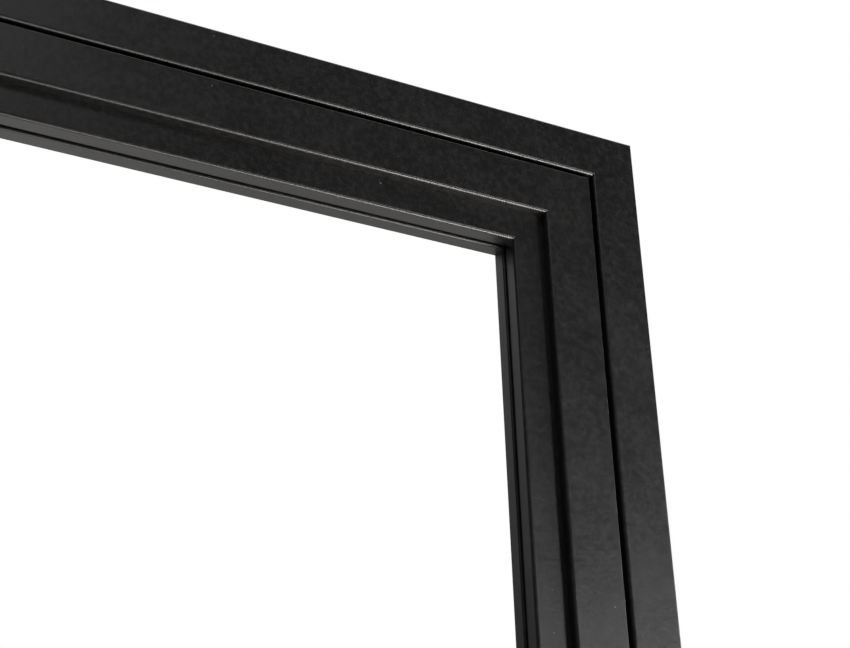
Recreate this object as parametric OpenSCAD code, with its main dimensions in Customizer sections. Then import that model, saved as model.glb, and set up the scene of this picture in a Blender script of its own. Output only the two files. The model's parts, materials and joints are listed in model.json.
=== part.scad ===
// Floating frame: four nested mitred timber frames with an open middle.
// The front faces -Y, +Z is up, and the wall plane is y = 0, with the origin
// at the middle of the frame. Section sizes are given as (w, d): w runs inward
// from the outer edge and d runs backward from the front face.

/* [Picture] */
// Width of the panel that the rebate takes
picture_w = 406; // [250:1:900]
// Height of the panel that the rebate takes
picture_h = 508; // [360:1:1200]
// Play between the panel and the rebate on each side
picture_play = 2; // [1:0.5:4]

/* [Outer frame] */
// Depth of the timber from the front face to the back
timber_depth = 28; // [27:0.5:45]
// Width of the outer front face
outer_face_w = 20.6; // [19:0.2:35]
// Thickness of the foot that runs inward behind the middle frame
foot_depth = 6; // [5:0.5:8]
// Width of the shadow gap around the middle frame
shadow_gap = 2.2; // [1.5:0.1:6]

/* [Middle frame] */
// Width of the middle front face
middle_face_w = 21.9; // [18:0.1:35]

/* [Inner frame] */
// Step back from the middle face to the inner face
inner_step = 4.2; // [2:0.1:6]
// Width of the inner front face
inner_face_w = 13.5; // [12:0.1:20]
// Width of the lip in front of the rebate
lip_w = 6.4; // [5:0.1:10]
// Thickness of that lip
lip_depth = 6.6; // [4:0.05:8]

/* [Slip] */
// How far the slip stands into the opening past the lip
slip_reveal = 1; // [0:0.1:3]
// Thickness of the slip
slip_depth = 6.9; // [5:0.05:9]
// Width of the fine groove between lip and slip
groove_w = 0.7; // [0.3:0.1:1.5]
// How deep that groove runs outward from the lip's edge
groove_reach = 2.7; // [1:0.1:4]

/* [Edges] */
// Radius of the main front arrises
arris_r = 1.2; // [0.4:0.1:1.5]
// Radius of the finer arrises
fine_arris_r = 0.7; // [0.2:0.1:1]

/* [Hardware] */
// Height of the wall bumpers
bumper_h = 6; // [5.5:0.5:10]
// Radius of a bumper's base
bumper_r = 7; // [5:0.5:8]
// Distance from the frame's sides to the bumpers, along the rails
bumper_inset = 92; // [40:1:110]
// Length of a turn button from its pivot to its tip
button_reach = 17; // [14:0.5:19]
// Width of a turn button
button_w = 10; // [8:0.5:12]
// Height of the hanger rings above the middle of the frame
hanger_z = 102; // [80:1:110]
// Radius of the wire that a hanger ring is bent from
ring_wire_r = 1.25; // [1:0.05:1.4]
// Radius of the round part of a ring, to the middle of the wire
ring_bend_r = 8; // [7.5:0.1:9]

/* [Hidden] */
$fn = 48;
// Overlap that keeps cutting solids clear of the faces they cut
slop = 1;

// Section stations, inward from the outer edge
middle_w0 = outer_face_w + shadow_gap;
middle_w1 = middle_w0 + middle_face_w;
lip_w1 = middle_w1 + inner_face_w;
rebate_w = lip_w1 - lip_w;
slip_w1 = lip_w1 + slip_reveal;
// Section stations, backward from the front face
foot_d = timber_depth - foot_depth;
lip_d = inner_step + lip_depth;
slip_d = lip_d + slip_depth;

frame_w = picture_w + 2 * (picture_play + rebate_w);
frame_h = picture_h + 2 * (picture_play + rebate_w);
front_y = -timber_depth - bumper_h;
back_y = -bumper_h;

// Turns that bring a top member round to each side of the frame
TOP = 0;
RIGHT = 90;
BOTTOM = 180;
LEFT = 270;
SIDES = [TOP, RIGHT, BOTTOM, LEFT];

// V nails: the two legs of one folded strip, and where they stand
nail_leg = 5.5;
nail_t = 0.5;
outer_nail_w = [5, 13];
outer_nail_depth = 12;
middle_nail_w = [middle_w0 + 7];
middle_nail_depth = 10;
inner_nail_w = [middle_w1 + 0.8];
inner_nail_depth = 9;

// Headless pins that hold the slip to the lip
pin_r = 0.6;
pin_w = rebate_w + 2.5;
pin_tip_d = inner_step + 3.3;
pin_spacing = 0.34;

// Countersunk screws from the foot into the middle frame
assembly_r = 1.75;
assembly_head_r = 3.5;
assembly_head_h = 2;
assembly_l = 18;
assembly_w = middle_w0 + 7.6;
rail_screw_places = [-0.31, -0.11, 0.11, 0.31];
stile_screw_places = [-0.35, -0.1, 0.1, 0.35];

// Turn buttons and their screws
button_t = 1.6;
button_pivot_w = middle_w1 - 4.1;
button_bore_r = 2.08;
button_screw_r = 2;
button_screw_l = 10;
button_head_r = 3.7;
button_head_h = 1.9;
button_gap = 0.2;
stile_button_place = 0.25;

// Hanger straps, their screws and their rings
strap_w = 10;
strap_t = 1.2;
strap_w0 = 5.5;
loop_w = 30;
loop_fit = 0.08;
loop_r = ring_wire_r + loop_fit + 1.02;
strap_screw_w = [10, 17.5];
strap_screw_r = 1.6;
strap_screw_l = 12;
strap_head_r = 3.1;
strap_head_h = 1.6;
ring_corner_r = 2.5;
ring_side_l = 5;

// Cross recess in every screw head
recess_w = 0.9;
recess_depth = 1.1;

// Wall bumpers
bumper_w = 11;
bumper_taper_h = 1.5;
bumper_face_r = bumper_r - 1.5;

BLACK_LACQUER = "#1c1a1b";
ZINC = "#b9b6ae";
BRASS_ZINC = "#c3b27c";
RUBBER = "#2b2b2c";

// A length along the side that a turn stands for
function side_run(turn) = (turn == TOP || turn == BOTTOM) ? frame_w : frame_h;
function side_reach(turn) = (turn == TOP || turn == BOTTOM) ? frame_h / 2 : frame_w / 2;

// ---- Placing --------------------------------------------------------------

// Puts children made on the top side, with x along the rail, y from the front
// face and z down from the outer edge, onto the side that the turn names
module on_side(turn) {
    rotate([0, turn, 0])
        translate([0, front_y, side_reach(turn)])
            children();
}

// Points a child made along +Z so that it goes forward into the timber's back
module into_back(along, w, d = timber_depth) {
    translate([along, d, -w])
        rotate([90, 0, 0])
            children();
}

// ---- Sections, in (w, d) --------------------------------------------------

// What is cut off to round a corner; (sx, sy) points from it into the timber
module arris_cut(w, d, sx, sy, r) {
    difference() {
        translate([w + (sx < 0 ? -r : -slop), d + (sy < 0 ? -r : -slop)])
            square(r + slop);
        translate([w + sx * r, d + sy * r])
            circle(r = r);
    }
}

module outer_section() {
    difference() {
        polygon([
            [0, 0], [outer_face_w, 0], [outer_face_w, foot_d], [middle_w1, foot_d],
            [middle_w1, timber_depth], [0, timber_depth]
        ]);
        arris_cut(0, 0, 1, 1, arris_r);
        arris_cut(outer_face_w, 0, -1, 1, arris_r);
        arris_cut(0, timber_depth, 1, -1, fine_arris_r);
    }
}

module middle_section() {
    difference() {
        translate([middle_w0, 0])
            square([middle_face_w, foot_d]);
        arris_cut(middle_w0, 0, 1, 1, fine_arris_r);
        arris_cut(middle_w1, 0, -1, 1, arris_r);
    }
}

module inner_section() {
    difference() {
        polygon([
            [middle_w1, inner_step], [lip_w1, inner_step], [lip_w1, lip_d],
            [rebate_w, lip_d], [rebate_w, timber_depth], [middle_w1, timber_depth]
        ]);
        arris_cut(lip_w1, inner_step, -1, 1, arris_r);
        arris_cut(lip_w1, lip_d, -1, -1, fine_arris_r / 2);
    }
}

module slip_section() {
    groove_w0 = lip_w1 - groove_reach;
    difference() {
        polygon([
            [rebate_w, lip_d], [groove_w0, lip_d], [groove_w0, lip_d + groove_w],
            [slip_w1, lip_d + groove_w], [slip_w1, slip_d], [rebate_w, slip_d]
        ]);
        arris_cut(slip_w1, lip_d + groove_w, -1, 1, fine_arris_r);
        arris_cut(slip_w1, slip_d, -1, -1, fine_arris_r / 2);
    }
}

// ---- Mitred members -------------------------------------------------------

// A straight length of the child section, cut at 45 degrees at both ends
module mitred_member(turn) {
    run = side_run(turn);
    reach = slip_w1 + slop;
    on_side(turn)
        intersection() {
            rotate([90, 0, 90])
                linear_extrude(height = run, center = true)
                    rotate(-90)
                        children();
            translate([0, timber_depth + slop, 0])
                rotate([90, 0, 0])
                    linear_extrude(height = timber_depth + 2 * slop)
                        polygon([
                            [-run / 2 - slop, slop], [run / 2 + slop, slop],
                            [run / 2 - reach, -reach], [-run / 2 + reach, -reach]
                        ]);
        }
}

module outer_member(turn) {
    color(BLACK_LACQUER)
        difference() {
            mitred_member(turn)
                outer_section();
            v_nails(outer_nail_w, timber_depth, outer_nail_depth);
            side_assembly_screws(turn);
            side_button_bores(turn);
            side_strap_screws(turn);
        }
}

module middle_member(turn) {
    color(BLACK_LACQUER)
        difference() {
            mitred_member(turn)
                middle_section();
            v_nails(middle_nail_w, foot_d, middle_nail_depth);
            side_assembly_screws(turn);
            side_button_bores(turn);
        }
}

module inner_member(turn) {
    color(BLACK_LACQUER)
        difference() {
            mitred_member(turn)
                inner_section();
            v_nails(inner_nail_w, timber_depth, inner_nail_depth);
            side_pins(turn);
        }
}

module slip_member(turn) {
    color(BLACK_LACQUER)
        difference() {
            mitred_member(turn)
                slip_section();
            side_pins(turn);
        }
}

// ---- Joinery --------------------------------------------------------------

// One V nail per station at every corner: a leg in each of the two members
module v_nails(stations, back_d, depth) {
    for (sx = [-1, 1], sz = [-1, 1], w = stations)
        translate([sx * (frame_w / 2 - w), front_y + back_d, sz * (frame_h / 2 - w)])
            rotate([90, 0, 0])
                linear_extrude(height = depth)
                    polygon([
                        [0, 0], [-sx * nail_leg, 0], [-sx * nail_leg, -sz * nail_t],
                        [-sx * nail_t, -sz * nail_t], [-sx * nail_t, -sz * nail_leg],
                        [0, -sz * nail_leg]
                    ]);
}

module side_pins(turn) {
    on_side(turn)
        for (place = [-1, 1])
            into_back(place * pin_spacing * side_run(turn), pin_w, slip_d)
                cylinder(h = slip_d - pin_tip_d, r = pin_r);
}

// Shank and cone of the countersunk screws along one side
module side_assembly_screws(turn) {
    places = (turn == TOP || turn == BOTTOM) ? rail_screw_places : stile_screw_places;
    on_side(turn)
        for (place = places)
            into_back(place * side_run(turn), assembly_w) {
                cylinder(h = assembly_l, r = assembly_r);
                cylinder(h = assembly_head_h, r1 = assembly_head_r, r2 = assembly_r);
            }
}

// Two crossed slots at the top of a screw head, which faces -Z
module cross_recess() {
    for (turn = [0, 90])
        rotate([0, 0, turn])
            translate([-2 * recess_w, -recess_w / 2, -slop])
                cube([4 * recess_w, recess_w, recess_depth + slop]);
}

module assembly_screws() {
    color(BRASS_ZINC)
        for (turn = SIDES)
            difference() {
                side_assembly_screws(turn);
                side_assembly_recesses(turn);
            }
}

module side_assembly_recesses(turn) {
    places = (turn == TOP || turn == BOTTOM) ? rail_screw_places : stile_screw_places;
    on_side(turn)
        for (place = places)
            into_back(place * side_run(turn), assembly_w)
                cross_recess();
}

// A pan head screw: the head stands behind the seat and the shank goes forward
module pan_screw(r, l, head_r, head_h, stand) {
    difference() {
        union() {
            translate([0, 0, -stand])
                cylinder(h = l + stand, r = r);
            translate([0, 0, -stand - head_h])
                cylinder(h = head_h, r1 = head_r - head_h / 2, r2 = head_r);
        }
        translate([0, 0, -stand - head_h])
            cross_recess();
    }
}

// ---- Turn buttons ---------------------------------------------------------

function button_places(turn) = (turn == TOP || turn == BOTTOM) ? [0]
    : [-stile_button_place * side_run(turn), stile_button_place * side_run(turn)];

module side_button_bores(turn) {
    on_side(turn)
        for (along = button_places(turn))
            into_back(along, button_pivot_w)
                cylinder(h = button_screw_l, r = button_screw_r);
}

// A flat button that lies along its member, with a bore at one end
module turn_button(turn, along) {
    tip = button_reach - button_w / 2;
    color(ZINC)
        on_side(turn)
            into_back(along, button_pivot_w, timber_depth + button_gap + button_t)
                difference() {
                    linear_extrude(height = button_t)
                        union() {
                            circle(d = button_w);
                            translate([0, -button_w / 2])
                                square([tip, button_w]);
                            translate([tip, 0])
                                circle(d = button_w);
                        }
                    translate([0, 0, -slop])
                        cylinder(h = button_t + 2 * slop, r = button_bore_r);
                }
}

module turn_button_screws() {
    stand = button_t + 2 * button_gap;
    color(BRASS_ZINC)
        for (turn = SIDES)
            on_side(turn)
                for (along = button_places(turn))
                    into_back(along, button_pivot_w)
                        pan_screw(button_screw_r, button_screw_l,
                                  button_head_r, button_head_h, stand);
}

// ---- Hanger straps and rings ----------------------------------------------

module hanger_strap(side) {
    sign = side == "left" ? 1 : -1;
    color(ZINC)
        translate([-sign * frame_w / 2, back_y, hanger_z])
            difference() {
                union() {
                    strap_plate(sign);
                    translate([sign * loop_w, loop_r, 0])
                        cylinder(h = strap_w, r = loop_r, center = true);
                }
                translate([sign * loop_w, loop_r, 0])
                    cylinder(h = strap_w + 2 * slop, r = ring_wire_r + loop_fit, center = true);
                for (w = strap_screw_w)
                    translate([sign * w, -slop, 0])
                        rotate([-90, 0, 0])
                            cylinder(h = strap_t + 2 * slop, r = strap_screw_r);
            }
}

// The flat of a strap, with a round outer end
module strap_plate(sign) {
    round_w = strap_w0 + strap_w / 2;
    translate([0, strap_t, 0])
        rotate([90, 0, 0])
            linear_extrude(height = strap_t)
                union() {
                    translate([sign * round_w, 0])
                        circle(d = strap_w);
                    translate([sign > 0 ? round_w : -loop_w, -strap_w / 2])
                        square([loop_w - round_w, strap_w]);
                }
}

// Pilot holes for the straps' screws, in the outer stiles only
module side_strap_screws(turn) {
    if (turn == LEFT || turn == RIGHT)
        strap_screw_shanks(turn == LEFT ? 1 : -1);
}

module strap_screw_shanks(sign) {
    for (w = strap_screw_w)
        translate([sign * (w - frame_w / 2), back_y, hanger_z])
            rotate([90, 0, 0])
                cylinder(h = strap_screw_l, r = strap_screw_r);
}

module hanger_screws() {
    color(BRASS_ZINC)
        for (sign = [-1, 1], w = strap_screw_w)
            translate([sign * (w - frame_w / 2), back_y, hanger_z])
                rotate([90, 0, 0])
                    pan_screw(strap_screw_r, strap_screw_l,
                              strap_head_r, strap_head_h, strap_t);
}

// Part of a round bar bent about +Z, from angle 0 to the given angle
module bend(r, angle) {
    rotate_extrude(angle = angle)
        translate([r, 0])
            circle(r = ring_wire_r);
}

module bar(l) {
    cylinder(h = l, r = ring_wire_r);
}

// A D ring in the XY plane: its straight bar lies on the Y axis, and the
// round end points along +X
module d_ring() {
    side_y = ring_bend_r;
    bar_half = side_y - ring_corner_r;
    translate([0, -bar_half, 0])
        rotate([-90, 0, 0])
            bar(2 * bar_half);
    for (end = [-1, 1]) {
        translate([ring_corner_r, end * bar_half, 0])
            rotate([0, 0, end > 0 ? 90 : 180])
                bend(ring_corner_r, 90);
        translate([ring_corner_r, end * side_y, 0])
            rotate([0, 90, 0])
                bar(ring_side_l);
    }
    translate([ring_corner_r + ring_side_l, 0, 0])
        rotate([0, 0, -90])
            bend(ring_bend_r, 180);
}

module hanger_ring(side) {
    sign = side == "left" ? 1 : -1;
    color(ZINC)
        translate([sign * (loop_w - frame_w / 2), back_y + loop_r, hanger_z])
            rotate([90, 0, sign > 0 ? 0 : 180])
                d_ring();
}

// ---- Bumpers --------------------------------------------------------------

module bumper(sx, sz) {
    color(RUBBER)
        translate([sx * (frame_w / 2 - bumper_inset), back_y, sz * (frame_h / 2 - bumper_w)])
            rotate([-90, 0, 0]) {
                cylinder(h = bumper_h - bumper_taper_h, r = bumper_r);
                translate([0, 0, bumper_h - bumper_taper_h])
                    cylinder(h = bumper_taper_h, r1 = bumper_r, r2 = bumper_face_r);
            }
}

// ---- Nodes ----------------------------------------------------------------

outer_member(TOP);  // outer_top_rail
outer_member(BOTTOM);  // outer_bottom_rail
outer_member(LEFT);  // outer_left_stile
outer_member(RIGHT);  // outer_right_stile
middle_member(TOP);  // middle_top_rail
middle_member(BOTTOM);  // middle_bottom_rail
middle_member(LEFT);  // middle_left_stile
middle_member(RIGHT);  // middle_right_stile
inner_member(TOP);  // inner_top_rail
inner_member(BOTTOM);  // inner_bottom_rail
inner_member(LEFT);  // inner_left_stile
inner_member(RIGHT);  // inner_right_stile
slip_member(TOP);  // slip_top_rail
slip_member(BOTTOM);  // slip_bottom_rail
slip_member(LEFT);  // slip_left_stile
slip_member(RIGHT);  // slip_right_stile
color(ZINC) v_nails(outer_nail_w, timber_depth, outer_nail_depth);  // outer_v_nails
color(ZINC) v_nails(middle_nail_w, foot_d, middle_nail_depth);  // middle_v_nails
color(ZINC) v_nails(inner_nail_w, timber_depth, inner_nail_depth);  // inner_v_nails
color(ZINC) for (turn = SIDES) side_pins(turn);  // slip_pins
assembly_screws();
turn_button(TOP, 0);  // top_turn_button
turn_button(BOTTOM, 0);  // bottom_turn_button
turn_button(LEFT, button_places(LEFT)[1]);  // left_upper_turn_button
turn_button(LEFT, button_places(LEFT)[0]);  // left_lower_turn_button
turn_button(RIGHT, button_places(RIGHT)[0]);  // right_upper_turn_button
turn_button(RIGHT, button_places(RIGHT)[1]);  // right_lower_turn_button
turn_button_screws();
hanger_strap("left");  // left_hanger_strap
hanger_strap("right");  // right_hanger_strap
hanger_ring("left");  // left_hanger_ring
hanger_ring("right");  // right_hanger_ring
hanger_screws();
bumper(-1, 1);  // top_left_bumper
bumper(1, 1);  // top_right_bumper
bumper(-1, -1);  // bottom_left_bumper
bumper(1, -1);  // bottom_right_bumper
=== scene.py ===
import json
import math

import bmesh
import bpy
from mathutils import Matrix, Vector


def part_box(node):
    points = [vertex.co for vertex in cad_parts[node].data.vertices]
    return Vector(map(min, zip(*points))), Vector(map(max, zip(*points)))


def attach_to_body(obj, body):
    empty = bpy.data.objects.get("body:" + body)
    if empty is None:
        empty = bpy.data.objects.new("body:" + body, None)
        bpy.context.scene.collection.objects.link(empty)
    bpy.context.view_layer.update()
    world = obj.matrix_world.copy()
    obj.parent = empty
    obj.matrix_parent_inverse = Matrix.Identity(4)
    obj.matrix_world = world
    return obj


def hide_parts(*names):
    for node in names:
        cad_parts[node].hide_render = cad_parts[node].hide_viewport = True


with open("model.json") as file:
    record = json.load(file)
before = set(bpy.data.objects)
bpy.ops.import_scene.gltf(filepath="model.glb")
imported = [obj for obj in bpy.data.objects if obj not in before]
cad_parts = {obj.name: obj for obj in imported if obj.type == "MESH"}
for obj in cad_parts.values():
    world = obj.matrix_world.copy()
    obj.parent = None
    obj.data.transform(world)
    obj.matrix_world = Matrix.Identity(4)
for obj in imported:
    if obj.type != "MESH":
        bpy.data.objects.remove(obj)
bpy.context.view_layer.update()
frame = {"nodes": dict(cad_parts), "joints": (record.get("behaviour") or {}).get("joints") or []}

MM = 0.001

# Planes of the frame
FRONT_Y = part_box("outer_top_rail")[0].y
BACK_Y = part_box("outer_top_rail")[1].y
RIGHT_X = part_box("outer_right_stile")[1].x
TOP_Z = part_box("outer_top_rail")[1].z

# Camera, measured back from the frame's top right front corner; angles in degrees
CAMERA_FROM_CORNER = Vector((-0.34725, -0.4742, -0.3934))
CAMERA_YAW = -27.467
CAMERA_PITCH = 28.122
CAMERA_ROLL = 1.711
LENS_MM = 69.88
SENSOR_MM = 36
NEAREST_SEEN = 0.01

# Lights: name, place, what it faces, width, height, watts, spread in degrees, colour
WARM_WHITE = (1.0, 0.985, 0.965)
NEUTRAL = (1.0, 1.0, 1.0)
LIGHTS = [
    ("key_low_right", (0.60, -0.23, -0.295), (0.60, -0.23, 1.00), 0.40, 0.14, 4.95, 130, WARM_WHITE),
    ("key_low", (0.40, -0.30, -0.295), (0.40, -0.30, 1.00), 0.24, 0.20, 1.76, 130, WARM_WHITE),
    ("key_low_left", (0.10, -0.30, -0.295), (0.10, -0.30, 1.00), 0.26, 0.20, 0.72, 130, WARM_WHITE),
    ("softbox_front", (1.20, -1.60, 0.20), (0.25, -0.03, 0.08), 0.50, 0.30, 0.89, 50, NEUTRAL),
    ("softbox_side", (1.63, -0.50, 0.30), (0.25, -0.03, 0.08), 0.50, 0.30, 0.75, 50, NEUTRAL),
    ("softbox_high", (-0.20, -1.60, 1.60), (0.10, -0.03, 0.20), 0.90, 0.60, 0.94, 90, NEUTRAL),
    ("bounce_left", (0.05, 0.60, -0.295), (0.05, 0.60, 1.00), 0.55, 0.80, 1.55, 180, WARM_WHITE),
    ("bounce_right", (0.65, 0.60, -0.295), (0.65, 0.60, 1.00), 0.55, 0.80, 0.75, 180, WARM_WHITE),
    ("backdrop_left", (-0.90, 1.40, 1.00), (0.20, -0.03, 0.10), 1.00, 0.80, 0.235, 90, NEUTRAL),
    ("overhead", (0.00, 1.00, 2.40), (0.00, 1.00, 0.00), 3.60, 3.60, 60.0, 180, NEUTRAL),
    ("floor_wash", (0.00, -2.05, 2.40), (0.00, -2.05, 0.00), 5.60, 1.70, 15.0, 60, NEUTRAL),
]

# Room light from the front and from behind, and how far to each side of level it changes over
WORLD_FRONT = 0.04
WORLD_BACK = 0.10
WORLD_FADE = 0.25

FLOOR_HALF = 3.0


# ---- Shader graphs ---------------------------------------------------------

class Graph:
    """A material whose nodes are added from plain values and sockets."""

    def __init__(self, name, **uniform):
        self.material = bpy.data.materials.new(name)
        self.material.use_nodes = True
        self.tree = self.material.node_tree
        self.shader = self.tree.nodes["Principled BSDF"]
        for socket, value in uniform.items():
            self.shader.inputs[socket].default_value = value

    def put(self, socket, value):
        if isinstance(value, bpy.types.NodeSocket):
            self.tree.links.new(value, socket)
        else:
            socket.default_value = value

    def add(self, kind, inputs, output=0, **settings):
        node = self.tree.nodes.new("ShaderNode" + kind)
        for key, value in settings.items():
            setattr(node, key, value)
        for key, value in inputs.items():
            self.put(node.inputs[key], value)
        return node.outputs[output]

    def point(self):
        return self.add("TexCoord", {}, "Object")

    def split(self, vector):
        node = self.tree.nodes.new("ShaderNodeSeparateXYZ")
        self.put(node.inputs[0], vector)
        return node.outputs

    def stretched(self, vector, scale):
        return self.add("VectorMath", {0: vector, 1: scale}, operation="MULTIPLY")

    def noise(self, vector, scale, detail=3.0, rough=0.55):
        inputs = {"Vector": vector, "Scale": scale, "Detail": detail, "Roughness": rough}
        return self.add("TexNoise", inputs, "Fac")

    def cells(self, vector, scale, output):
        return self.add("TexVoronoi", {"Vector": vector, "Scale": scale}, output)

    def math(self, operation, a, b=0.0):
        return self.add("Math", {0: a, 1: b}, operation=operation)

    def times(self, a, b):
        return self.math("MULTIPLY", a, b)

    def plus(self, a, b):
        return self.math("ADD", a, b)

    def minus(self, a, b):
        return self.math("SUBTRACT", a, b)

    def absolute(self, a):
        return self.math("ABSOLUTE", a)

    def ramp(self, value, low, high, out_low=0.0, out_high=1.0):
        inputs = {
            "Value": value, "From Min": low, "From Max": high,
            "To Min": out_low, "To Max": out_high,
        }
        return self.add("MapRange", inputs, "Result", clamp=True)

    def mix(self, factor, a, b):
        inputs = {"Factor": factor, 6: a, 7: b}
        return self.add("Mix", inputs, 2, data_type="RGBA")

    def blend(self, factor, a, b):
        inputs = {"Factor": factor, 2: a, 3: b}
        return self.add("Mix", inputs, 0, data_type="FLOAT")

    def bump(self, height, distance, normal=None):
        inputs = {"Height": height, "Distance": distance}
        if normal is not None:
            inputs["Normal"] = normal
        return self.add("Bump", inputs)

    def finish(self, color, roughness, normal):
        self.put(self.shader.inputs["Base Color"], color)
        self.put(self.shader.inputs["Roughness"], roughness)
        self.put(self.shader.inputs["Normal"], normal)
        return self.material


def rgb(r, g, b):
    return (r, g, b, 1.0)


# ---- Lacquered timber ------------------------------------------------------

# Textures are given as features per metre, and bumps as heights in mm
MOTTLE = 16.0
SHEEN_PATCHES = 45.0
FINE_SPRAY_AND_SPARKLE = 1500.0
PEBBLE = 430.0
SPECKS = 170.0
DUST = 420.0
DUST_PATCHES = 38.0
PEEL = 560.0
PEEL_H = 0.045
SHOWN_GRAIN = (30.0, 900.0)
SHOWN_GRAIN_H = 0.010
FIGURE = (3.0, 70.0)
PORES = (45.0, 1900.0)
PORE_H = 0.06
RAGGED_EDGE = 34.0
MIST = 1400.0

LACQUER_DARK = rgb(0.0034, 0.0031, 0.0030)
LACQUER_LIGHT = rgb(0.0056, 0.0051, 0.0050)
# Painted sparkle: a lighter colour for tiny dots that stand in for glints on the spray
PAINTED_SPARKLE_COLOR = rgb(0.015, 0.0138, 0.0134)
# Painted sheen: a lighter colour for pebble patches that stand in for light off the orange peel
PAINTED_PEEL_SHEEN_COLOR = rgb(0.016, 0.0148, 0.0144)
SPECK_COLOR = rgb(0.10, 0.097, 0.092)
DUST_COLOR = rgb(0.034, 0.033, 0.032)
LIGHT_WOOD = rgb(0.50, 0.350, 0.195)
DARK_WOOD = rgb(0.33, 0.205, 0.105)
PORE_COLOR = rgb(0.15, 0.085, 0.040)
DEEP_TONE = rgb(0.42, 0.26, 0.13)
SEAM_COLOR = rgb(0.045, 0.026, 0.014)

LACQUER_ROUGH = (0.31, 0.39)
WOOD_ROUGH = (0.62, 0.74)

# Overspray on the back, in mm from the outer edge: where it fades out, and where it comes back
# near the opening
OUTER_FADE = (0.2, 9.0)
INNER_FADE = (53.0, 47.5)
FADE_POWER = 0.6
RAGGED_W = 6.0

# Half of the seam at a mitre, in mm: where it starts to show, and where it is darkest
SEAM = (0.35, 0.15)

# How far in front of the back plane, in mm, the bare wood starts, and where it is complete
BACK_FADE = (0.4, 0.2)


def grain_scale(along, scales):
    """A texture scale that is long along one axis and fine across it."""
    lengthwise, across = scales
    if along == "X":
        return (lengthwise, across, across)
    return (across, across, lengthwise)


def flecks(g, point, scale, channel, picked, radius):
    """Round dots in the few cells whose random colour channel is high enough."""
    chosen = g.ramp(g.split(g.cells(point, scale, "Color"))[channel], *picked)
    return g.times(g.ramp(g.cells(point, scale, "Distance"), *radius), chosen)


def lacquer(g, point):
    """Satin black spray: mottled and finely pebbled, with painted sparkle and painted orange-peel
    sheen as lighter dots in its colour, and dust settled in it.
    """
    color = g.mix(g.ramp(g.noise(point, MOTTLE, 4.0), 0.3, 0.7), LACQUER_DARK, LACQUER_LIGHT)
    fine_spray_and_sparkle = g.noise(point, FINE_SPRAY_AND_SPARKLE, 2.0)
    # Painted sparkle: fine lighter dots in the colour stand in for glints; the same noise also
    # roughens the spray for real
    color = g.mix(g.ramp(fine_spray_and_sparkle, 0.55, 0.8, 0.0, 0.25), color, PAINTED_SPARKLE_COLOR)
    pebble_and_sheen = g.noise(point, PEBBLE, 3.0, 0.6)
    # Painted sheen: lighter pebble patches in the colour stand in for light off the orange peel; the
    # pebble's roughness change is real
    color = g.mix(g.ramp(pebble_and_sheen, 0.45, 0.75, 0.0, 0.5), color, PAINTED_PEEL_SHEEN_COLOR)
    speck = flecks(g, point, SPECKS, 0, (0.93, 0.94), (0.075, 0.04))
    color = g.mix(speck, color, SPECK_COLOR)
    dusty = g.ramp(g.noise(point, DUST_PATCHES, 2.0), 0.56, 0.66)
    dust = g.times(flecks(g, point, DUST, 1, (0.86, 0.88), (0.13, 0.07)), dusty)
    color = g.mix(dust, color, DUST_COLOR)

    roughness = g.ramp(g.noise(point, SHEEN_PATCHES, 5.0), 0.25, 0.75, *LACQUER_ROUGH)
    roughness = g.plus(roughness, g.ramp(fine_spray_and_sparkle, 0.4, 0.8, 0.0, 0.05))
    roughness = g.plus(roughness, g.ramp(pebble_and_sheen, 0.3, 0.7, -0.04, 0.04))
    roughness = g.plus(roughness, g.times(speck, 0.3))
    return color, roughness


def bare_wood(g, point, along, off_mitre):
    """Unfinished wood: figure, pores, a tone for each length and a dark seam at the mitre."""
    tone = g.add("ObjectInfo", {}, "Random")
    shifted = g.add("VectorMath", {0: point, 1: g.add("CombineXYZ", {0: tone, 1: tone, 2: tone})})
    figure = g.noise(g.stretched(shifted, grain_scale(along, FIGURE)), 1.0, 5.0, 0.6)
    pore = g.noise(g.stretched(shifted, grain_scale(along, PORES)), 1.0, 2.0)
    color = g.mix(g.ramp(figure, 0.32, 0.68), DARK_WOOD, LIGHT_WOOD)
    color = g.mix(g.ramp(pore, 0.58, 0.72, 0.0, 0.55), color, PORE_COLOR)
    color = g.mix(g.ramp(tone, 0.0, 1.0, 0.0, 0.25), color, DEEP_TONE)
    color = g.mix(g.ramp(off_mitre, SEAM[0] * MM, SEAM[1] * MM, 0.0, 0.8), color, SEAM_COLOR)
    roughness = g.ramp(figure, 0.3, 0.7, *WOOD_ROUGH)
    return color, roughness, pore


def bare_area(g, point, depth, inward):
    """1 where the wood is bare: on the back plane, inside a ragged band of overspray."""
    facing_back = g.ramp(g.split(g.add("NewGeometry", {}, "Normal"))[1], 0.80, 0.95)
    at_back = g.ramp(depth, BACK_Y - BACK_FADE[0] * MM, BACK_Y - BACK_FADE[1] * MM)
    ragged = g.times(g.minus(g.noise(point, RAGGED_EDGE, 6.0, 0.62), 0.5), RAGGED_W * MM)
    edge = g.plus(inward, ragged)
    outer = g.math("POWER", g.ramp(edge, OUTER_FADE[0] * MM, OUTER_FADE[1] * MM), FADE_POWER)
    inner = g.math("POWER", g.ramp(edge, INNER_FADE[0] * MM, INNER_FADE[1] * MM), FADE_POWER)
    bare = g.times(g.times(facing_back, at_back), g.times(outer, inner))
    mist = g.ramp(g.noise(point, MIST, 1.0), 0.35, 0.65)
    return g.times(bare, g.ramp(mist, 0.0, 1.0, 0.86, 1.0))


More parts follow.
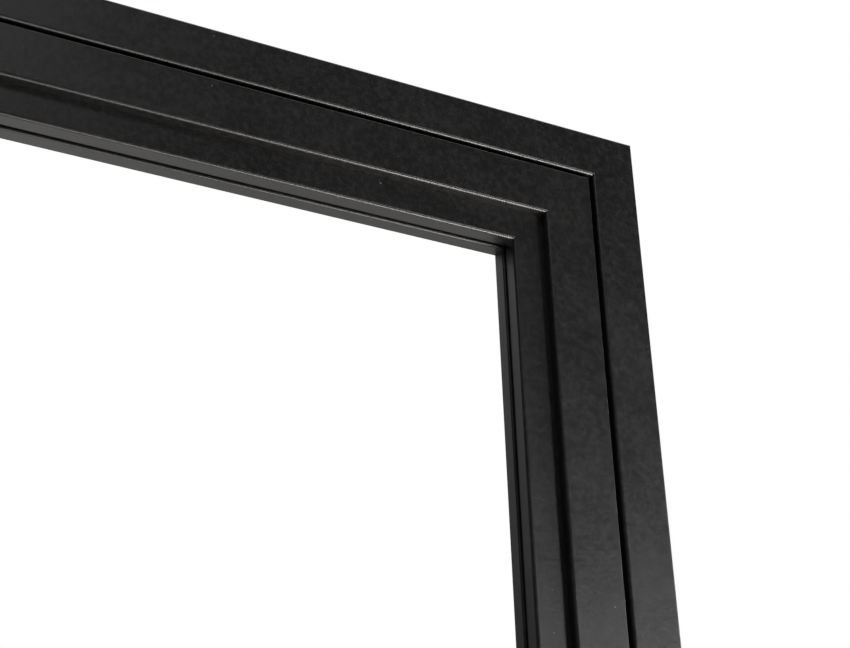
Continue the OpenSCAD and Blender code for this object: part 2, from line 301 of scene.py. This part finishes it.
def timber_material(name, along):
    """Black lacquer with orange peel over grain along one axis, and bare wood on the back."""
    g = Graph(name)
    point = g.point()
    px, py, pz = g.split(point)
    from_side = g.minus(RIGHT_X, g.absolute(px))
    from_end = g.minus(TOP_Z, g.absolute(pz))
    off_mitre = g.absolute(g.minus(from_end, from_side))
    bare = bare_area(g, point, py, from_end if along == "X" else from_side)
    spray, spray_rough = lacquer(g, point)
    wood, wood_rough, pore = bare_wood(g, point, along, off_mitre)

    peel = g.times(g.noise(point, PEEL, 2.0, 0.5), g.ramp(bare, 0.0, 1.0, 1.0, 0.2))
    shown_grain = g.noise(g.stretched(point, grain_scale(along, SHOWN_GRAIN)), 1.0, 3.0)
    open_pore = g.times(g.ramp(pore, 0.55, 0.75), g.times(bare, -1.0))
    normal = g.bump(peel, PEEL_H * MM)
    normal = g.bump(shown_grain, SHOWN_GRAIN_H * MM, normal)
    normal = g.bump(open_pore, PORE_H * MM, normal)
    return g.finish(g.mix(bare, spray, wood), g.blend(bare, spray_rough, wood_rough), normal)


# ---- Other materials -------------------------------------------------------

PLATE_BLOOM = 210.0
PLATE_STAINS = 640.0
PLATE_PITS = 1800.0
ROLLING_LINES = (90.0, 2600.0, 2600.0)
PLATE_H = 0.006
PLATE_ROUGH = (0.30, 0.50)

RUBBER_BLOOM = 260.0
RUBBER_GRIT = 3800.0
RUBBER_H = 0.02
RUBBER_ROUGH = (0.52, 0.72)
RUBBER_BLACK = rgb(0.020, 0.020, 0.021)
RUBBER_DUSTY = rgb(0.046, 0.045, 0.044)
RUBBER_RUBBED = rgb(0.11, 0.105, 0.10)

FLOOR_CLOUDS = 1.6
FLOOR_GRAIN = 900.0
FLOOR_H = 0.05
FLOOR_ROUGH = (0.62, 0.75)
FLOOR_DULL = rgb(0.76, 0.76, 0.75)
FLOOR_PALE = rgb(0.83, 0.83, 0.82)


def plated_material(name, dull, bright, stained):
    """Plated steel: mottled bloom, fine rolling lines and small stains."""
    g = Graph(name, Metallic=1.0)
    point = g.point()
    bloom = g.noise(point, PLATE_BLOOM, 5.0, 0.6)
    stain = g.noise(point, PLATE_STAINS, 3.0)
    color = g.mix(g.ramp(bloom, 0.32, 0.68), dull, bright)
    color = g.mix(g.ramp(stain, 0.55, 0.75, 0.0, 0.6), color, stained)
    roughness = g.ramp(g.plus(bloom, g.times(stain, 0.5)), 0.5, 1.0, *PLATE_ROUGH)
    normal = g.bump(g.noise(g.stretched(point, ROLLING_LINES), 1.0, 2.0), PLATE_H * MM)
    normal = g.bump(g.noise(point, PLATE_PITS, 2.0), PLATE_H * MM, normal)
    return g.finish(color, roughness, normal)


def rubber_material():
    """Moulded rubber: fine spark texture, a dusty bloom and rubbed high spots."""
    g = Graph("moulded_rubber")
    point = g.point()
    bloom = g.noise(point, RUBBER_BLOOM, 5.0, 0.65)
    grit = g.noise(point, RUBBER_GRIT, 2.0)
    color = g.mix(g.ramp(bloom, 0.35, 0.75), RUBBER_BLACK, RUBBER_DUSTY)
    color = g.mix(g.ramp(grit, 0.62, 0.8, 0.0, 0.5), color, RUBBER_RUBBED)
    roughness = g.ramp(bloom, 0.3, 0.7, *RUBBER_ROUGH)
    return g.finish(color, roughness, g.bump(grit, RUBBER_H * MM))


def floor_material():
    """Pale matt studio floor with a very slight cloudiness."""
    g = Graph("studio_floor")
    point = g.point()
    cloud = g.noise(point, FLOOR_CLOUDS, 5.0)
    color = g.mix(cloud, FLOOR_DULL, FLOOR_PALE)
    roughness = g.ramp(cloud, 0.3, 0.7, *FLOOR_ROUGH)
    return g.finish(color, roughness, g.bump(g.noise(point, FLOOR_GRAIN, 2.0), FLOOR_H * MM))


rail_timber = timber_material("rail_timber", "X")
stile_timber = timber_material("stile_timber", "Z")
zinc = plated_material(
    "zinc_plate", dull=rgb(0.46, 0.47, 0.48), bright=rgb(0.66, 0.66, 0.65),
    stained=rgb(0.36, 0.36, 0.35),
)
yellow_zinc = plated_material(
    "yellow_zinc", dull=rgb(0.62, 0.46, 0.17), bright=rgb(0.78, 0.64, 0.34),
    stained=rgb(0.62, 0.48, 0.38),
)
nail_steel = plated_material(
    "nail_steel", dull=rgb(0.34, 0.35, 0.36), bright=rgb(0.50, 0.50, 0.50),
    stained=rgb(0.24, 0.20, 0.17),
)
rubber = rubber_material()

# The first of these endings that a CAD node's name has gives its material
MATERIAL_BY_ENDING = (
    ("_rail", rail_timber), ("_stile", stile_timber), ("_nails", nail_steel),
    ("_pins", nail_steel), ("_screws", yellow_zinc), ("_bumper", rubber), ("", zinc),
)


def paint_cad_nodes():
    for node, piece in frame["nodes"].items():
        material = next(m for ending, m in MATERIAL_BY_ENDING if node.endswith(ending))
        piece.data.materials.clear()
        piece.data.materials.append(material)


# ---- Mesh helpers ----------------------------------------------------------

SMOOTH_ANGLE = math.radians(32)


def new_object(name, bm, material, smooth=True):
    mesh = bpy.data.meshes.new(name)
    bmesh.ops.recalc_face_normals(bm, faces=bm.faces[:])
    bm.to_mesh(mesh)
    bm.free()
    if smooth:
        mesh.shade_smooth()
        mesh.set_sharp_from_angle(angle=SMOOTH_ANGLE)
    mesh.materials.append(material)
    piece = bpy.data.objects.new(name, mesh)
    bpy.context.scene.collection.objects.link(piece)
    return piece


def attach(piece, body, node):
    """Makes a piece ride on a body, in place of a CAD node."""
    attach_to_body(piece, body)
    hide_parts(node)


def scaled(points):
    """Points given in mm, in metres."""
    return [(a * MM, b * MM) for a, b in points]


def arc(cx, cy, r, start, end, steps):
    """Points along an arc about (cx, cy), between two angles in degrees."""
    points = []
    for i in range(steps + 1):
        turn = math.radians(start + (end - start) * i / steps)
        points.append((cx + r * math.cos(turn), cy + r * math.sin(turn)))
    return points


def stadium(length, width, inset=0.0):
    """Outline in mm of a flat with round ends, from the centre of one end to that of the other."""
    r = width / 2 - inset
    return arc(0, 0, r, 90, 270, 20) + arc(length, 0, r, -90, 90, 20)


def path_sides(path):
    """The unit vector to the left of a path of (u, v) points, at each of them."""
    sides = []
    for i in range(len(path)):
        before = Vector(path[max(i - 1, 0)])
        after = Vector(path[min(i + 1, len(path) - 1)])
        along = (after - before).normalized()
        sides.append(Vector((-along.y, along.x)))
    return sides


def skin(bm, loops):
    """Joins loops of the same number of vertices into a tube and caps its two ends."""
    bm.faces.new(loops[0][::-1])
    bm.faces.new(loops[-1])
    for a, b in zip(loops, loops[1:]):
        for i in range(len(a)):
            j = (i + 1) % len(a)
            bm.faces.new([a[i], a[j], b[j], b[i]])


def loft(layers):
    """A closed solid through (outline, height) layers in mm, of the same number of points."""
    bm = bmesh.new()
    loops = []
    for outline, height in layers:
        loops.append([bm.verts.new((x, y, height * MM)) for x, y in scaled(outline)])
    skin(bm, loops)
    return bm


def revolve(profile, segments=48):
    """A closed solid of revolution about Z from (radius, height) points in mm."""
    bm = bmesh.new()
    rings = []
    for radius, height in scaled(profile):
        if radius == 0:
            rings.append([bm.verts.new((0, 0, height))])
            continue
        ring = []
        for i in range(segments):
            turn = 2 * math.pi * i / segments
            ring.append(bm.verts.new((radius * math.cos(turn), radius * math.sin(turn), height)))
        rings.append(ring)
    for a, b in zip(rings, rings[1:]):
        for i in range(segments):
            j = (i + 1) % segments
            corners = [a[i % len(a)], a[j % len(a)], b[j % len(b)], b[i % len(b)]]
            bm.faces.new(list(dict.fromkeys(corners)))
    return bm


def carve(bm, cutters, operation="DIFFERENCE"):
    """The solid with the cutters taken away, or kept only where they overlap."""
    work = []
    for part in [bm] + cutters:
        bmesh.ops.recalc_face_normals(part, faces=part.faces[:])
        mesh = bpy.data.meshes.new("carving")
        part.to_mesh(mesh)
        part.free()
        piece = bpy.data.objects.new("carving", mesh)
        bpy.context.scene.collection.objects.link(piece)
        work.append(piece)
    for cutter in work[1:]:
        modifier = work[0].modifiers.new("carve", "BOOLEAN")
        modifier.operation = operation
        modifier.solver = "EXACT"
        modifier.object = cutter
    graph = bpy.context.evaluated_depsgraph_get()
    out = bmesh.new()
    out.from_mesh(work[0].evaluated_get(graph).to_mesh())
    for piece in work:
        mesh = piece.data
        bpy.data.objects.remove(piece)
        bpy.data.meshes.remove(mesh)
    return out


def copies(bm, places):
    """One mesh holding a copy of the solid at every place, given as matrices."""
    out = bmesh.new()
    for place in places:
        mesh = bpy.data.meshes.new("copy")
        bm.to_mesh(mesh)
        mesh.transform(place)
        out.from_mesh(mesh)
        bpy.data.meshes.remove(mesh)
    bm.free()
    return out


# ---- Places and sizes of the hardware, in mm -------------------------------

JOINT_PLACE = {joint["child"]: Vector(joint["pos_m"]) for joint in frame["joints"]}
BUTTONS = [body for body in JOINT_PLACE if body.endswith("turn_button")]
HANGERS = ("left", "right")

# Puts a piece made with +Z as its outer face onto the back of the frame
OUT_OF_BACK = Matrix.Rotation(math.radians(-90), 4, "X")

# Screws: shank radius, length under the back plane, head radius and head height
BUTTON_SCREW = (2.0, 10.0, 3.7, 1.9)
STRAP_SCREW = (1.6, 12.0, 3.1, 1.6)
ASSEMBLY_SCREW = (1.75, 18.0, 3.5, 2.0)

# Turn buttons: gap to the wood and to the screw's head, and thickness
BUTTON_GAP = 0.2
BUTTON_T = 1.6

# Hanger straps: thickness, and how far in from the outer edge they start and have their screws
STRAP_T = 1.2
STRAP_W0 = 5.5
STRAP_SCREW_W = (10.0, 17.5)

# Assembly screws: how far in from the outer edge, and at which parts of the frame's size
ASSEMBLY_W = (RIGHT_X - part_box("assembly_screws")[1].x) / MM + ASSEMBLY_SCREW[2]
RAIL_PLACES = (-0.31, -0.11, 0.11, 0.31)
STILE_PLACES = (-0.35, -0.1, 0.1, 0.35)


# ---- Screws ----------------------------------------------------------------

# Cross recess: width and reach of an arm, and depth
RECESS_W = 0.9
RECESS_REACH = 1.75
RECESS_DEPTH = 1.15
# The reach at the mouth and at the tip as parts of it, and the inner corners as parts of half a width
RECESS_MOUTH = 1.075
RECESS_TIP = 0.45
RECESS_CORNER = 1.35
# How far the cutter stands out of the head
OVERCUT = 0.3

# Pan head: (inset, height) of its eased foot, and the part of its height that is below the dome
HEAD_EASE = (0.18, 0.16)
HEAD_RIM = 0.34
# The dome's profile is a rounded-off quarter ellipse: powers of its radius and of its height
DOME_POWERS = (0.8, 1.15)
DOME_STEPS = 8
# Countersunk head: how far its edge is eased on the cone and on the face
SINK_EASE = (0.08, 0.14)

# Point: (part of the shank's radius, height) of its tip, and height at which the shank is full
SHANK_TIP = (0.35, 0.9)
SHANK_TAPER = 3.4


def cross_cutter(top):
    """A cross recess that narrows and shallows towards its tip."""
    def outline(reach, half):
        inner = half * RECESS_CORNER
        points = []
        for turn in (0, 90, 180, 270):
            c, s = math.cos(math.radians(turn)), math.sin(math.radians(turn))
            for x, y in ((reach, -half), (reach, half), (inner, inner)):
                points.append((x * c - y * s, x * s + y * c))
        return points
    tip = outline(RECESS_REACH * RECESS_TIP, RECESS_W / 3)
    mouth = outline(RECESS_REACH * RECESS_MOUTH, RECESS_W / 2)
    return loft([(tip, top - RECESS_DEPTH), (mouth, top + OVERCUT)])


def pan_head(head_r, head_h, base_z):
    """Profile of a domed head standing on the plane base_z."""
    rim_h = HEAD_RIM * head_h
    dome = []
    for i in range(DOME_STEPS):
        turn = math.radians(90 * i / DOME_STEPS)
        rise = (head_h - rim_h) * math.sin(turn) ** DOME_POWERS[1]
        dome.append((head_r * math.cos(turn) ** DOME_POWERS[0], base_z + rim_h + rise))
    dome.append((0, base_z + head_h))
    return [(head_r - HEAD_EASE[0], base_z), (head_r, base_z + HEAD_EASE[1])] + dome


def shank(shank_r, length):
    """Profile of a shank's point, from its tip to its full radius."""
    tip_part, tip_h = SHANK_TIP
    return [(0, -length), (tip_part * shank_r, tip_h - length), (shank_r, SHANK_TAPER - length)]


def pan_screw(shank_r, length, head_r, head_h, stand):
    """A screw whose head stands some way off the plane z = 0."""
    profile = shank(shank_r, length) + [(shank_r, 0), (shank_r, stand)]
    profile += pan_head(head_r, head_h, stand)
    return carve(revolve(profile), [cross_cutter(stand + head_h)])


def countersunk_screw(shank_r, length, head_r, head_h):
    """A screw whose head is flush with the plane z = 0."""
    ease_low, ease_top = SINK_EASE
    profile = shank(shank_r, length) + [(shank_r, -head_h), (head_r - ease_low, -ease_low)]
    profile += [(head_r - ease_top, 0), (0, 0)]
    return carve(revolve(profile), [cross_cutter(0)])


def on_back(x, z, turn):
    """A place on the back plane, turned about the way out of it by some degrees."""
    place = Matrix.Translation((x, BACK_Y, z)) @ OUT_OF_BACK
    return place @ Matrix.Rotation(math.radians(turn), 4, "Z")


def add_screws(name, solid, places, node):
    attach(new_object(name, copies(solid, places), yellow_zinc), "frame", node)


# In each set of screws every recess stops at an angle of its own, as driven screws do

def add_button_screws():
    places = []
    for i, body in enumerate(BUTTONS):
        pivot = JOINT_PLACE[body]
        places.append(on_back(pivot.x, pivot.z, 17 + 41 * i))
    screw = pan_screw(*BUTTON_SCREW, BUTTON_T + 2 * BUTTON_GAP)
    add_screws("button_screws", screw, places, "turn_button_screws")


def add_strap_screws():
    places = []
    for i, w in enumerate(STRAP_SCREW_W):
        for sign, side in ((-1, "left"), (1, "right")):
            z = JOINT_PLACE[side + "_hanger_ring"].z
            places.append(on_back(sign * (RIGHT_X - w * MM), z, 23 + 37 * i + 50 * sign))
    add_screws("strap_screws", pan_screw(*STRAP_SCREW, STRAP_T), places, "hanger_screws")


def add_assembly_screws():
    places = []
    for sign in (-1, 1):
        x = sign * (RIGHT_X - ASSEMBLY_W * MM)
        z = sign * (TOP_Z - ASSEMBLY_W * MM)
        for i, part in enumerate(RAIL_PLACES):
            places.append(on_back(part * 2 * RIGHT_X, z, 29 * i + 13 * sign))
        for i, part in enumerate(STILE_PLACES):
            places.append(on_back(x, part * 2 * TOP_Z, 31 * i + 19 * sign))
    add_screws("foot_screws", countersunk_screw(*ASSEMBLY_SCREW), places, "assembly_screws")


# ---- Turn buttons ----------------------------------------------------------

BUTTON_EASE = 0.22
BUTTON_BORE_R = 2.08
BORE_FLARE = 0.35
BORE_FLARE_H = 0.3
# How far past a face a cutter's own face lies, so that the two never coincide
CLEAR = 0.01
# Finger dimple: radius of the sphere, depth, and distance from the centre of the round end
DIMPLE_R = 9.0
DIMPLE_DEPTH = 0.42
DIMPLE_FROM_END = 0.6
DIMPLE_SEGMENTS = 48


def button_bore():
    """The cutter for the screw's hole, flared at both faces."""
    flare = BUTTON_BORE_R + BORE_FLARE
    return revolve([
        (0, -1), (flare, -CLEAR), (BUTTON_BORE_R, BORE_FLARE_H),
        (BUTTON_BORE_R, BUTTON_T - BORE_FLARE_H), (flare + CLEAR, BUTTON_T + CLEAR),
        (0, BUTTON_T + 1),
    ])


def button_dimple(x):
    """The cutter for the finger dimple, a shallow cap of a large sphere."""
    dimple = bmesh.new()
    n = DIMPLE_SEGMENTS
    bmesh.ops.create_uvsphere(dimple, u_segments=n, v_segments=n, radius=DIMPLE_R * MM)
    dimple.transform(Matrix.Translation((x * MM, 0, (BUTTON_T + DIMPLE_R - DIMPLE_DEPTH) * MM)))
    return dimple


def add_button(body):
    """A pressed plate with eased edges, a bore and a finger dimple near its tip."""
    low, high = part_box(body)
    pivot = JOINT_PLACE[body]
    span = high - low
    width = min(span.x, span.z) / MM
    length = max(span.x, span.z) / MM - width
    face = stadium(length, width, BUTTON_EASE)
    side = stadium(length, width)
    plate = loft([(face, 0), (side, BUTTON_EASE), (side, BUTTON_T - BUTTON_EASE), (face, BUTTON_T)])
    plate = carve(plate, [button_bore(), button_dimple(length - DIMPLE_FROM_END)])
    if span.x > span.z:
        aim = 0 if high.x - pivot.x > pivot.x - low.x else 180
    else:
        aim = -90 if high.z - pivot.z > pivot.z - low.z else 90
    plate.transform(on_back(pivot.x, pivot.z, aim) @ Matrix.Translation((0, 0, BUTTON_GAP * MM)))
    attach(new_object(body + "_plate", plate, zinc), body, body)


# ---- Hangers ---------------------------------------------------------------

# Strap: thickness of the sheet, and its loop round the bar, with the angles it runs between
SHEET_T = 0.56
LOOP_BORE_R = 1.33
LOOP_R = LOOP_BORE_R + SHEET_T / 2
LOOP_START = -102
LOOP_END = 168

# How the two leaves meet the loop: (distance before its centre, rise off the leaf's own level)
LOWER_LEAD = ((4.2, 0.0), (2.8, 0.02), (1.6, 0.18))
UPPER_LEAD = ((1.75, 0.95), (2.25, 0.42), (3.0, 0.12), (4.2, 0.0))
# Cutters: play of a screw hole, its lowest and highest point, and what trims the strap's round end
HOLE_PLAY = 0.05
HOLE_SPAN = (-1, 4)
TRIM_SPAN = (-1, 8)
TRIM_BEYOND = 6

# Ring: wire, corners of the D, half the gap at the butted ends, and where its legs have a middle
# point, as a part of the way from the corner to the bend
WIRE_R = 1.25
WIRE_SIDES = 24
RING_CORNER_R = 2.5
RING_BUTT_GAP = 0.12
RING_LEG = 0.6


def strap_path(loop_u, loop_v):
    """The middle of the sheet: in along the wood, round the ring's bar and back on top."""
    under, over = SHEET_T / 2, STRAP_T - SHEET_T / 2
    path = [(STRAP_W0, under)]
    path += [(loop_u - before, under + rise) for before, rise in LOWER_LEAD]
    path += arc(loop_u, loop_v, LOOP_R, LOOP_START, LOOP_END, 40)
    path += [(loop_u - before, over + rise) for before, rise in UPPER_LEAD]
    return path + [(STRAP_W0, over)]


def add_strap(side):
    """One strip folded round the ring's bar and doubled back on itself."""
    sign = 1 if side == "left" else -1
    node = side + "_hanger_strap"
    low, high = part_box(node)
    ring = JOINT_PLACE[side + "_hanger_ring"]
    half = (high.z - low.z) / 2 / MM
    loop_u = (RIGHT_X - abs(ring.x)) / MM
    path = strap_path(loop_u, (ring.y - BACK_Y) / MM)
    strip = bmesh.new()
    loops = []
    for (u, v), out in zip(path, path_sides(path)):
        shift = out * SHEET_T / 2
        corners = ((shift, -half), (shift, half), (-shift, half), (-shift, -half))
        loops.append([strip.verts.new(((u + s.x) * MM, y * MM, (v + s.y) * MM)) for s, y in corners])
    skin(strip, loops)

    plan = arc(STRAP_W0 + half, 0, half, 90, 270, 28)
    plan += [(loop_u + TRIM_BEYOND, -half), (loop_u + TRIM_BEYOND, half)]
    strip = carve(strip, [loft([(plan, level) for level in TRIM_SPAN])], "INTERSECT")
    holes = []
    hole_r = STRAP_SCREW[0] + HOLE_PLAY
    bottom, top = HOLE_SPAN
    for w in STRAP_SCREW_W:
        hole = revolve([(0, bottom), (hole_r, bottom), (hole_r, top), (0, top)])
        hole.transform(Matrix.Translation((w * MM, 0, 0)))
        holes.append(hole)
    strip = carve(strip, holes)
    flip = Matrix.Diagonal((sign, 1, 1, 1))
    strip.transform(Matrix.Translation((-sign * RIGHT_X, BACK_Y, ring.z)) @ flip @ OUT_OF_BACK)
    attach(new_object(side + "_strap", strip, zinc), "frame", node)


def ring_path(side_z, bend_x):
    """The wire's middle line in metres, from one butted end round the D to the other."""
    corner = RING_CORNER_R * MM
    bar = side_z - corner
    gap = RING_BUTT_GAP * MM
    leg_x = bend_x * RING_LEG + corner * (1 - RING_LEG)
    path = [(0, gap), (0, bar / 2), (0, bar)]
    path += arc(corner, bar, corner, 180, 90, 10)[1:]
    path += [(leg_x, side_z)]
    path += arc(bend_x, 0, side_z, 90, -90, 48)
    path += [(leg_x, -side_z)]
    path += arc(corner, -bar, corner, -90, -180, 10)
    return path + [(0, -bar / 2), (0, -gap)]


def add_ring(side):
    """A D bent from round wire, with the butted ends inside the strap's loop."""
    sign = 1 if side == "left" else -1
    body = side + "_hanger_ring"
    low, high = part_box(body)
    wire_r = WIRE_R * MM
    side_z = (high.z - low.z) / 2 - wire_r
    path = ring_path(side_z, (high.x - low.x) - 2 * wire_r - side_z)
    wire = bmesh.new()
    loops = []
    for (x, z), out in zip(path, path_sides(path)):
        loop = []
        for k in range(WIRE_SIDES):
            turn = 2 * math.pi * k / WIRE_SIDES
            shift = out * wire_r * math.cos(turn)
            loop.append(wire.verts.new((x + shift.x, wire_r * math.sin(turn), z + shift.y)))
        loops.append(loop)
    skin(wire, loops)
    wire.transform(Matrix.Translation(JOINT_PLACE[body]) @ Matrix.Diagonal((sign, 1, 1, 1)))
    attach(new_object(side + "_ring", wire, zinc), body, body)


# ---- Bumpers ---------------------------------------------------------------

# The side, with an eased foot and a parting line: (inset from the radius, height)
BUMPER_SIDE = ((0.25, 0.0), (0.0, 0.2), (0.0, 1.9), (0.12, 2.0), (0.12, 2.2), (0.0, 2.3))
# The rounded rim, and how far below it the side's last point is
BUMPER_ROUND = 2.2
BUMPER_SHOULDER = 0.2
# The dish in the top: (inset from the radius, depth), and the gate mark: (radius, depth)
BUMPER_DISH = ((3.0, 0.03), (3.6, 0.22), (4.4, 0.4), (5.4, 0.47))
GATE_MARK = ((0.95, 0.5), (0.85, 0.75), (0.6, 0.9), (0, 0.9))


def add_bumper(node):
    """A moulded dome with a parting line, a rounded rim and a gate mark in a shallow dish."""
    low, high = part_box(node)
    r = (high.x - low.x) / 2 / MM
    h = (high.y - low.y) / MM
    profile = [(0, 0)]
    profile += [(r - inset, height) for inset, height in BUMPER_SIDE]
    profile += [(r, h - BUMPER_ROUND - BUMPER_SHOULDER)]
    profile += arc(r - BUMPER_ROUND, h - BUMPER_ROUND, BUMPER_ROUND, 0, 90, 12)[1:]
    profile += [(r - inset, h - depth) for inset, depth in BUMPER_DISH]
    profile += [(radius, h - depth) for radius, depth in GATE_MARK]
    dome = revolve(profile, 64)
    place = Matrix.Translation(((low.x + high.x) / 2, low.y, (low.z + high.z) / 2))
    dome.transform(place @ OUT_OF_BACK)
    attach(new_object(node + "_pad", dome, rubber), "frame", node)


# ---- Studio ----------------------------------------------------------------

def add_camera():
    data = bpy.data.cameras.new("camera")
    data.lens = LENS_MM
    data.sensor_width = SENSOR_MM
    data.clip_start = NEAREST_SEEN
    camera = bpy.data.objects.new("camera", data)
    bpy.context.scene.collection.objects.link(camera)
    corner = Vector((RIGHT_X, FRONT_Y, TOP_Z))
    turn = (
        Matrix.Rotation(math.radians(CAMERA_YAW), 4, "Z")
        @ Matrix.Rotation(math.radians(CAMERA_PITCH), 4, "X")
        @ Matrix.Rotation(math.radians(CAMERA_ROLL), 4, "Y")
        @ Matrix.Rotation(math.radians(90), 4, "X")
    )
    camera.matrix_world = Matrix.Translation(corner + CAMERA_FROM_CORNER) @ turn
    bpy.context.scene.camera = camera


def add_floor():
    bm = bmesh.new()
    half = FLOOR_HALF
    corners = ((-half, -half), (half, -half), (half, half), (-half, half))
    bm.faces.new([bm.verts.new((x, y, -TOP_Z)) for x, y in corners])
    floor = new_object("floor", bm, floor_material(), smooth=False)


def add_lights():
    for name, place, target, width, height, watts, spread, color in LIGHTS:
        data = bpy.data.lights.new(name, "AREA")
        data.shape = "RECTANGLE"
        data.size = width
        data.size_y = height
        data.energy = watts
        data.spread = math.radians(spread)
        data.color = color
        light = bpy.data.objects.new(name, data)
        light.location = place
        aim = Vector(target) - Vector(place)
        light.rotation_euler = aim.to_track_quat("-Z", "Y").to_euler()
        light.visible_camera = False
        bpy.context.scene.collection.objects.link(light)


def add_world():
    """White where the camera sees past the frame; soft grey room light on everything else."""
    world = bpy.data.worlds.new("studio")
    bpy.context.scene.world = world
    world.use_nodes = True
    tree = world.node_tree
    nodes = tree.nodes
    room = nodes["Background"]
    direction = nodes.new("ShaderNodeTexCoord").outputs["Generated"]
    split = nodes.new("ShaderNodeSeparateXYZ")
    tree.links.new(direction, split.inputs[0])
    strength = nodes.new("ShaderNodeMapRange")
    strength.inputs["From Min"].default_value = -WORLD_FADE
    strength.inputs["From Max"].default_value = WORLD_FADE
    strength.inputs["To Min"].default_value = WORLD_FRONT
    strength.inputs["To Max"].default_value = WORLD_BACK
    tree.links.new(split.outputs[1], strength.inputs["Value"])
    room.inputs["Color"].default_value = rgb(1, 1, 1)
    tree.links.new(strength.outputs["Result"], room.inputs["Strength"])
    white = nodes.new("ShaderNodeBackground")
    white.inputs["Color"].default_value = rgb(1, 1, 1)
    white.inputs["Strength"].default_value = 1.0
    seen = nodes.new("ShaderNodeLightPath").outputs["Is Camera Ray"]
    mixed = nodes.new("ShaderNodeMixShader")
    tree.links.new(seen, mixed.inputs[0])
    tree.links.new(room.outputs[0], mixed.inputs[1])
    tree.links.new(white.outputs[0], mixed.inputs[2])
    tree.links.new(mixed.outputs[0], nodes["World Output"].inputs["Surface"])


paint_cad_nodes()
add_button_screws()
add_strap_screws()
add_assembly_screws()
for body in BUTTONS:
    add_button(body)
for side in HANGERS:
    add_strap(side)
    add_ring(side)
for node in sorted(frame["nodes"]):
    if node.endswith("_bumper"):
        add_bumper(node)
add_camera()
add_floor()
add_lights()
add_world()
bpy.context.scene.view_settings.view_transform = "Standard"
